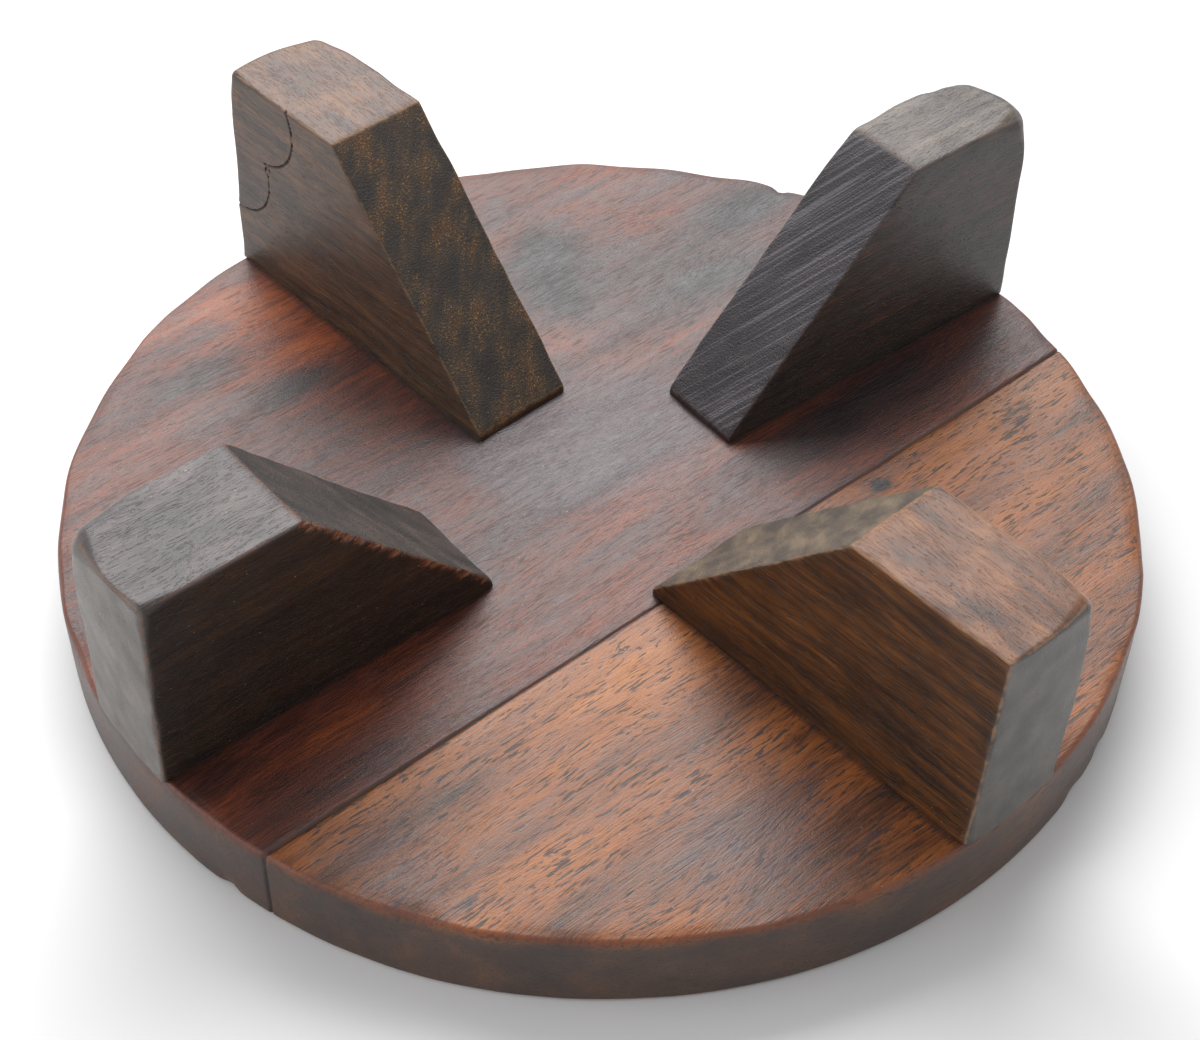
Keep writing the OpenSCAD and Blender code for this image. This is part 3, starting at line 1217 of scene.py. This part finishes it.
@dataclass(frozen=True)
class Studio:
    """The pale floor, the soft lights and the camera."""

    floor_reach: float = 4000.0
    floor_colour: str = "#f1f1f2"
    ambient: float = 0.5
    window_power: float = 38.0
    fill_power: float = 5.0
    camera_at: Triple = (-0.28, -349.42, 369.29)
    camera_dip: float = 45.847
    camera_roll: float = 1.113
    lens: float = 66.51

    def floor(self) -> None:
        """Lays the floor just under the board."""
        reach = self.floor_reach * MM
        mesh = bpy.data.meshes.new("floor")
        corners = [(-reach, -reach, 0), (reach, -reach, 0), (reach, reach, 0), (-reach, reach, 0)]
        mesh.from_pydata(corners, [], [(0, 1, 2, 3)])
        made = bpy.data.objects.new("floor", mesh)
        made.location.z = -0.05 * MM
        bpy.context.scene.collection.objects.link(made)
        r = Recipe(bpy.data.materials.new("pale_floor"))
        mesh.materials.append(r.shine(srgb(self.floor_colour), 0.7))

    def world(self) -> None:
        """Lights the room evenly, and shows it white where it is seen or mirrored."""
        room = bpy.data.worlds.new("room")
        bpy.context.scene.world = room
        r = Recipe(room)
        path = r.node("ShaderNodeLightPath")
        seen = path.outputs["Is Camera Ray"]
        for kind in ("Is Glossy Ray", "Is Transmission Ray"):
            both = r.node("ShaderNodeMath", {"operation": "MAXIMUM"}, {0: seen, 1: path.outputs[kind]})
            seen = both.outputs[0]
        level = self.ambient + (1 - self.ambient) * Signal(r, seen)
        background = r.node("ShaderNodeBackground", None, {"Color": srgb("#ffffff"), "Strength": level})
        r.node("ShaderNodeOutputWorld", None, {"Surface": background.outputs[0]})

    @staticmethod
    def lamp(name: str, at: Triple, size: tuple[float, float], power: float) -> None:
        """Hangs a soft rectangular lamp that faces the board.

        Args:
            name: Its name.
            at: Its place, in millimetres.
            size: Its width and height.
            power: Its power in watts.
        """
        data = bpy.data.lights.new(name, "AREA")
        data.shape = "RECTANGLE"
        data.size, data.size_y = size[0] * MM, size[1] * MM
        data.energy = power
        made = bpy.data.objects.new(name, data)
        made.location = Vector(at) * MM
        made.rotation_euler = (-made.location).to_track_quat("-Z", "Y").to_euler()
        bpy.context.scene.collection.objects.link(made)

    def camera(self) -> None:
        """Stands the camera where the photograph was taken from."""
        dip, roll = math.radians(self.camera_dip), math.radians(self.camera_roll)
        forward = Vector((0, math.cos(dip), -math.sin(dip)))
        up = Vector((0, math.sin(dip), math.cos(dip)))
        across = Vector((1, 0, 0))
        right = across * math.cos(roll) + up * math.sin(roll)
        top = up * math.cos(roll) - across * math.sin(roll)
        data = bpy.data.cameras.new("camera")
        data.lens = self.lens
        data.clip_start, data.clip_end = 0.01, 50.0
        made = bpy.data.objects.new("camera", data)
        turn = Matrix((right, top, -forward)).transposed().to_4x4()
        made.matrix_world = Matrix.Translation(Vector(self.camera_at) * MM) @ turn
        bpy.context.scene.collection.objects.link(made)
        bpy.context.scene.camera = made

    def build(self) -> None:
        """Sets the stage."""
        bpy.context.scene.view_settings.view_transform = "Standard"
        self.camera()
        self.floor()
        self.world()
        self.lamp("window", (-250, 1150, 1250), (1700, 1100), self.window_power)
        self.lamp("fill", (-1300, -300, 700), (900, 900), self.fill_power)


WIDE_WOOD = PlankFinish(
    slot="red_board_wood",
    tones=((0.30, "#1f1213"), (0.42, "#3a1c16"), (0.52, "#56281a"), (0.62, "#74371d"), (0.76, "#a0501f")),
    ink="#191316", dashes=0.55, streaks=0.6, seed=3.0)
NARROW_WOOD = PlankFinish(
    slot="streaked_board_wood",
    tones=((0.28, "#2b1a16"), (0.40, "#553019"), (0.50, "#7a441f"), (0.62, "#985823"), (0.78, "#b46f2e")),
    ink="#1b1718", dashes=0.85, streaks=0.7, seed=41.0)

BACK_LEFT_WOOD = FootFinish(
    slot="back_left_foot_wood",
    side=((0.3, "#1f1610"), (0.5, "#46301f"), (0.7, "#6b482b")),
    slope=((0.3, "#1c1511"), (0.48, "#382819"), (0.62, "#543418"), (0.75, "#6d4420")),
    sole=((0.3, "#2f2018"), (0.5, "#563622"), (0.7, "#7a5130")),
    heel=((0.3, "#2a211b"), (0.5, "#463a30"), (0.7, "#5f5041")),
    edge="#8a6a48", fleck="#a88850", flecks=0.75, saw=0.0, seed=7.0)
BACK_RIGHT_WOOD = FootFinish(
    slot="back_right_foot_wood",
    side=((0.3, "#14110f"), (0.5, "#2c211b"), (0.7, "#4a2e22")),
    slope=((0.3, "#1b171b"), (0.5, "#2a2429"), (0.62, "#353036"), (0.8, "#6b3a20")),
    sole=((0.3, "#2a2320"), (0.5, "#4a3f38"), (0.7, "#6b5f54")),
    heel=((0.3, "#1c1817"), (0.5, "#2f2a27"), (0.7, "#433b36")),
    edge="#6b5a58", fleck="#7c5a3a", flecks=0.12, saw=0.35, seed=19.0)
FRONT_LEFT_WOOD = FootFinish(
    slot="front_left_foot_wood",
    side=((0.3, "#0f0c0a"), (0.5, "#221811"), (0.7, "#3d2818")),
    slope=((0.3, "#1d1816"), (0.5, "#352b27"), (0.7, "#54453e")),
    sole=((0.3, "#27211f"), (0.5, "#43393a"), (0.7, "#5f5350")),
    heel=((0.3, "#3a332e"), (0.5, "#57504a"), (0.7, "#6b635b")),
    edge="#7a4a34", fleck="#8a7a60", flecks=0.3, saw=0.0, seed=31.0)
FRONT_RIGHT_WOOD = FootFinish(
    slot="front_right_foot_wood",
    side=((0.3, "#1c100a"), (0.46, "#40250f"), (0.6, "#5f3817"), (0.75, "#7c4d1f")),
    slope=((0.3, "#3a3027"), (0.5, "#5a4c3e"), (0.7, "#786650")),
    sole=((0.3, "#3a261c"), (0.5, "#6b432a"), (0.7, "#96643e")),
    heel=((0.3, "#322e2a"), (0.5, "#48433e"), (0.7, "#5c554e")),
    edge="#a07a58", fleck="#8d7c4e", flecks=0.4, saw=0.0, seed=47.0)


def make_feet(frame: Envelope) -> tuple[Foot, ...]:
    """The four feet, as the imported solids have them.

    Args:
        frame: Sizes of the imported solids.

    Returns:
        The feet, not built yet.
    """
    back_left = Foot(
        "back_left_foot", frame, BACK_LEFT_WOOD, turn=133.5, shift=-2.2, sole_shift=-2.4,
        width=26.3, sole_width=26.1, length=91, sole_length=39, seed=100,
        worn=(Worn((119, -17, 71), 9, 4.5), Worn((119, 8, 72), 5, 2.2)),
        cracks=(Crack((108.5, 66), 12.6, 149, 265, 0.22, 0.9), Crack((118.5, 48), 12.5, 167, 280, 0.2, 0.8),
                Crack((106.2, 51.8), 0.9, -20, 160, 0.2, 0.6)))
    back_right = Foot(
        "back_right_foot", frame, BACK_RIGHT_WOOD, turn=39, shift=4.5, sole_shift=0.3,
        width=22.1, sole_width=21.7, length=88.5, sole_length=36.6, seed=200,
        crack_side=Side.RIGHT,
        worn=(Worn((118, 14, 72), 10, 6), Worn((118, -5, 72), 7, 5), Worn((86, 15, 72), 8, 2.5)),
        dents=(Dent((108, 16.8, 74), (3.4, 2.6, 6), 1.2),))
    front_left = Foot(
        "front_left_foot", frame, FRONT_LEFT_WOOD, turn=221, shift=-5.1, sole_shift=3.1,
        width=26.7, sole_width=28, length=83.5, sole_length=36.7, seed=300, edge=0.9,
        crack_side=Side.LEFT, chipped=1.0,
        worn=(Worn((118, -14, 72), 9, 5), Worn((38, 0, 21), 9, 2.4), Worn((118, 12, 70), 6, 2.5)))
    front_right = Foot(
        "front_right_foot", frame, FRONT_RIGHT_WOOD, turn=313, shift=0.4, sole_shift=0,
        width=28.3, sole_width=25, length=89.3, sole_length=39.8, seed=400,
        crack_side=Side.RIGHT, chipped=0.4,
        worn=(Worn((118, 12, 72), 7, 3.2), Worn((118, -12, 21), 5, 2.5), Worn((118, 13, 21), 5, 2.5)))
    return (back_left, back_right, front_left, front_right)


def make_board(frame: Envelope, feet: tuple[Foot, ...]) -> Board:
    """The board with its stains and marks.

    Args:
        frame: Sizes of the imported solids.
        feet: The feet on it.

    Returns:
        The board, not built yet.
    """
    warm = (
        Patch(-24, 90, 15, 22, 1.0), Patch(-26, -44, 30, 12, 0.7), Patch(78, -44, 26, 12, 0.8),
        Patch(-76, 77, 26, 8, 0.4), Patch(-84, -20, 30, 8, 0.5), Patch(26, 41, 14, 12, 0.4),
        Patch(8, -8, 20, 8, 0.25))
    dark = (
        Patch(44, 72, 9, 13, 0.8), Patch(34, 56, 8, 14, 0.7), Patch(93, 54, 13, 6, 1.0),
        Patch(70, 38, 20, 9, 0.6), Patch(-32, 72, 15, 5, 0.7), Patch(-46, 88, 14, 5, 0.5),
        Patch(60, -18, 40, 8, 0.6), Patch(48.5, -39.3, 2.4, 1.8, 1.4), Patch(88, -44, 9, 5, 0.6),
        Patch(-88, -29, 14, 4, 0.4))
    film = (
        Patch(4, 12, 26, 20, 1.0), Patch(-8, 26, 14, 16, 0.6), Patch(24, 8, 16, 20, 0.8),
        Patch(-98, -56, 16, 22, 0.7), Patch(-40, -92, 28, 22, 0.8), Patch(-24, -20, 18, 6, 0.4),
        Patch(-80, -10, 40, 5, 0.5))
    nicks = (
        Nick(67.9, 20, 1.6, 3.0, 1.4), Nick(-127.3, 0, 2.0, 2.0, 0.9),
        Nick(-34.2, 0, 3.0, 1.8, 0.8), Nick(-27.8, 0, 2.0, 2.0, 0.7))
    return Board(frame, feet=feet, warm=warm, dark=dark, film=film, nicks=nicks)


def main() -> None:
    """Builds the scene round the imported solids."""
    logging.basicConfig(level=logging.INFO, format="%(message)s")
    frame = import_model()
    envelope = Envelope.from_frame()
    Studio().build()
    feet = make_feet(envelope)
    make_board(envelope, feet).build(WIDE_WOOD, NARROW_WOOD)
    for foot in feet:
        foot.build()
    Dowels().dress(frame["nodes"])


if __name__ == "__main__":
    main()
